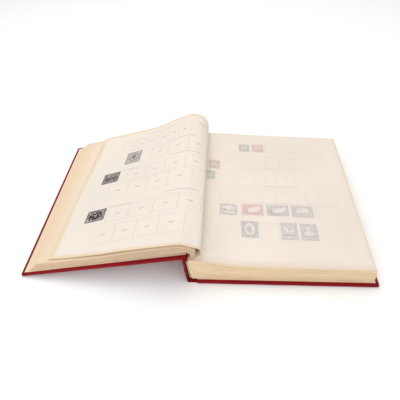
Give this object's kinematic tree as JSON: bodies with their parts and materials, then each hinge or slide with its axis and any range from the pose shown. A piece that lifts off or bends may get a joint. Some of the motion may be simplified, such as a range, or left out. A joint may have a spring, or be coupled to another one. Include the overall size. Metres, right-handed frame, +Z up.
{
  "type": "stamp album",
  "caption": "Cloth-bound stamp album lying open: sewn leaves on guards, hinged covers, printed leaves with mounted stamps and a glassine interleaf that turn.",
  "frame": {"origin": "centre of the back cover's underside, on the table", "axes": "+X from the spine to the fore-edge of the right page, +Y from tail to head, +Z up"},
  "size_m": [0.4951, 0.3, 0.0745],
  "materials": {
    "greyboard": "pressed grey board",
    "book_cloth": "red woven book cloth",
    "band_thread": "sewn bead",
    "cotton": "plain weave",
    "glassine": "thin calendered paper, see-through",
    "gummed_tab": "thin gummed paper",
    "stamp_paper": "engraved print, perforated edge",
    "endpaper": "matt, toned at the edges",
    "lining_paper": "kraft",
    "leaf_paper": "matt album paper, toned edges"
  },
  "bodies": {
    "text_block": {"spine_cloth": "book_cloth", "spine_board": "greyboard", "spine_lining": "lining_paper", "mull": "cotton", "sewing_tapes": "cotton", "sewing_thread": "cotton", "headband": "band_thread", "tailband": "band_thread", "guard_strips": "leaf_paper", "back_flyleaf": "endpaper", "section_1": "leaf_paper", "section_2": "leaf_paper", "section_3": "leaf_paper", "section_4": "leaf_paper", "section_5": "leaf_paper", "section_6": "leaf_paper", "section_7": "leaf_paper", "section_8": "leaf_paper", "right_leaf_hinge": "leaf_paper", "interleaf_hinge": "glassine"},
    "back_cover": {"back_board": "greyboard", "back_cloth": "book_cloth", "back_infill": "lining_paper", "back_pastedown": "endpaper", "back_joint_cloth": "book_cloth"},
    "front_joint": {"front_joint_cloth": "book_cloth", "left_leaf_arch": "leaf_paper", "left_leaves_arch": "leaf_paper"},
    "front_cover": {"front_board": "greyboard", "front_cloth": "book_cloth", "front_infill": "lining_paper", "front_pastedown": "endpaper", "front_flyleaf": "endpaper", "left_leaves_lower": "leaf_paper", "left_leaves_upper": "leaf_paper", "left_top_leaf": "leaf_paper", "left_stamp_1": "stamp_paper", "left_stamp_2": "stamp_paper", "left_stamp_3": "stamp_paper", "left_stamp_tabs": "gummed_tab"},
    "leaf_root": {"right_leaf_root": "leaf_paper", "gutter_stamp_1": "stamp_paper", "gutter_stamp_2": "stamp_paper", "gutter_stamp_tabs": "gummed_tab"},
    "right_leaf": {"right_leaf": "leaf_paper", "right_stamp_1": "stamp_paper", "right_stamp_2": "stamp_paper", "right_stamp_3": "stamp_paper", "right_stamp_4": "stamp_paper", "right_stamp_5": "stamp_paper", "right_stamp_6": "stamp_paper", "right_stamp_7": "stamp_paper", "right_stamp_8": "stamp_paper", "right_stamp_9": "stamp_paper", "right_stamp_tabs": "gummed_tab"},
    "interleaf_root": {"interleaf_root": "glassine"},
    "interleaf": {"interleaf": "glassine"}
  },
  "joints": [
    {"name": "back_hinge", "type": "hinge", "parent": "text_block", "child": "back_cover", "pos_m": [-0.1215, 0, 0.0003], "axis": [0, -1, 0], "range_deg": [-160, 0], "deforming": ["back_joint_cloth"]},
    {"name": "front_joint_fold", "type": "hinge", "parent": "text_block", "child": "front_joint", "pos_m": [-0.1245, 0, 0.0505], "axis": [0, -1, 0], "range_deg": [-96.5, 0], "deforming": ["front_joint_cloth", "left_leaf_arch", "left_leaves_arch"]},
    {"name": "front_hinge", "type": "hinge", "parent": "front_joint", "child": "front_cover", "pos_m": [-0.1245, 0, 0.0505], "axis": [0, -1, 0], "range_deg": [-96.5, 0], "deforming": ["front_joint_cloth", "left_leaf_arch", "left_leaves_arch"]},
    {"name": "leaf_root_turn", "type": "hinge", "parent": "text_block", "child": "leaf_root", "pos_m": [-0.115, 0, 0.0575], "axis": [0, -1, 0], "range_deg": [0, 95], "deforming": ["right_leaf_hinge"]},
    {"name": "leaf_turn", "type": "hinge", "parent": "leaf_root", "child": "right_leaf", "pos_m": [-0.089, 0, 0.03918], "axis": [0, -1, 0], "range_deg": [0, 95], "deforming": ["right_leaf_hinge"]},
    {"name": "interleaf_root_turn", "type": "hinge", "parent": "text_block", "child": "interleaf_root", "pos_m": [-0.115, 0, 0.0591], "axis": [0, -1, 0], "range_deg": [0, 95], "deforming": ["interleaf_hinge"]},
    {"name": "interleaf_turn", "type": "hinge", "parent": "interleaf_root", "child": "interleaf", "pos_m": [-0.089, 0, 0.03985], "axis": [0, -1, 0], "range_deg": [0, 95], "deforming": ["interleaf_hinge"]}
  ],
  "couplings": [
    {"joint": "front_joint_fold", "follows": "front_hinge", "ratio": 1},
    {"joint": "leaf_root_turn", "follows": "leaf_turn", "ratio": 1},
    {"joint": "interleaf_root_turn", "follows": "interleaf_turn", "ratio": 1}
  ]
}
